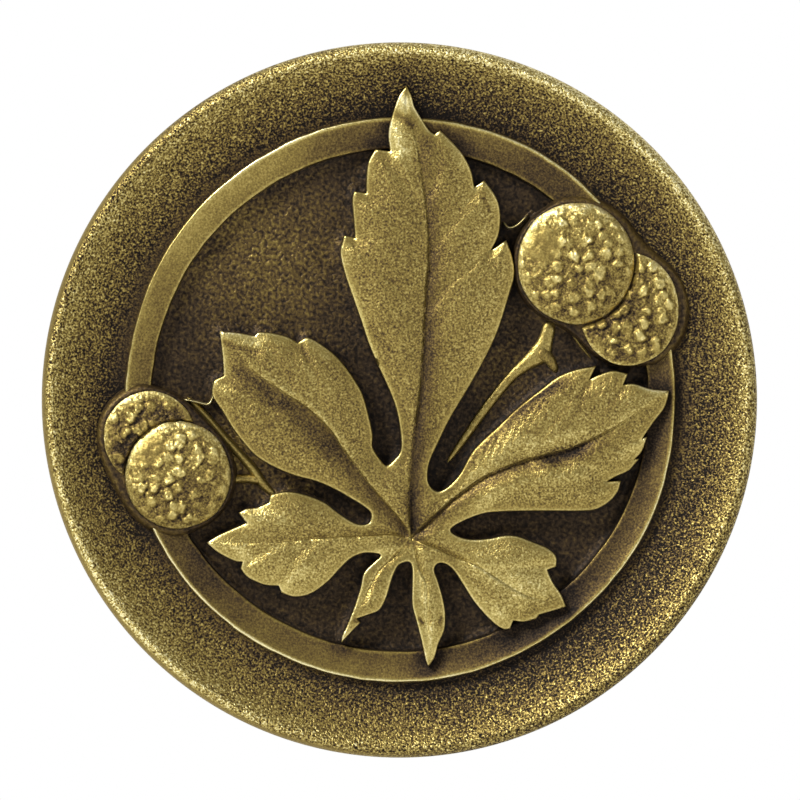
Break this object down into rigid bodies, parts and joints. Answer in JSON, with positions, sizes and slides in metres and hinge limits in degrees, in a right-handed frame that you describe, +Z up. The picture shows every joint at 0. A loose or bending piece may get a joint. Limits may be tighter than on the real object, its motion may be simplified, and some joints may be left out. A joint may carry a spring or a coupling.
{
  "type": "mushroom knob",
  "caption": "Round mushroom knob in antique brass, its dished face carrying a lobed leaf, seed balls and a raised ring, on a trumpet stem with a tapped foot.",
  "frame": {"origin": "on the screw axis, in the plane of the foot's face that rests on the door or drawer front", "axes": "+Y out of the foot into the door or drawer front, -Y towards the person, +Z up along the leaf's long lobe, +X to the right as seen from in front"},
  "size_m": [0.035, 0.024, 0.035],
  "materials": {
    "antique_brass": "antique: dark patina in the hollows, rubbed bright on the leaf, the seed balls, the ring and the rim"
  },
  "bodies": {
    "root": {"knob": "antique_brass"}
  },
  "joints": []
}
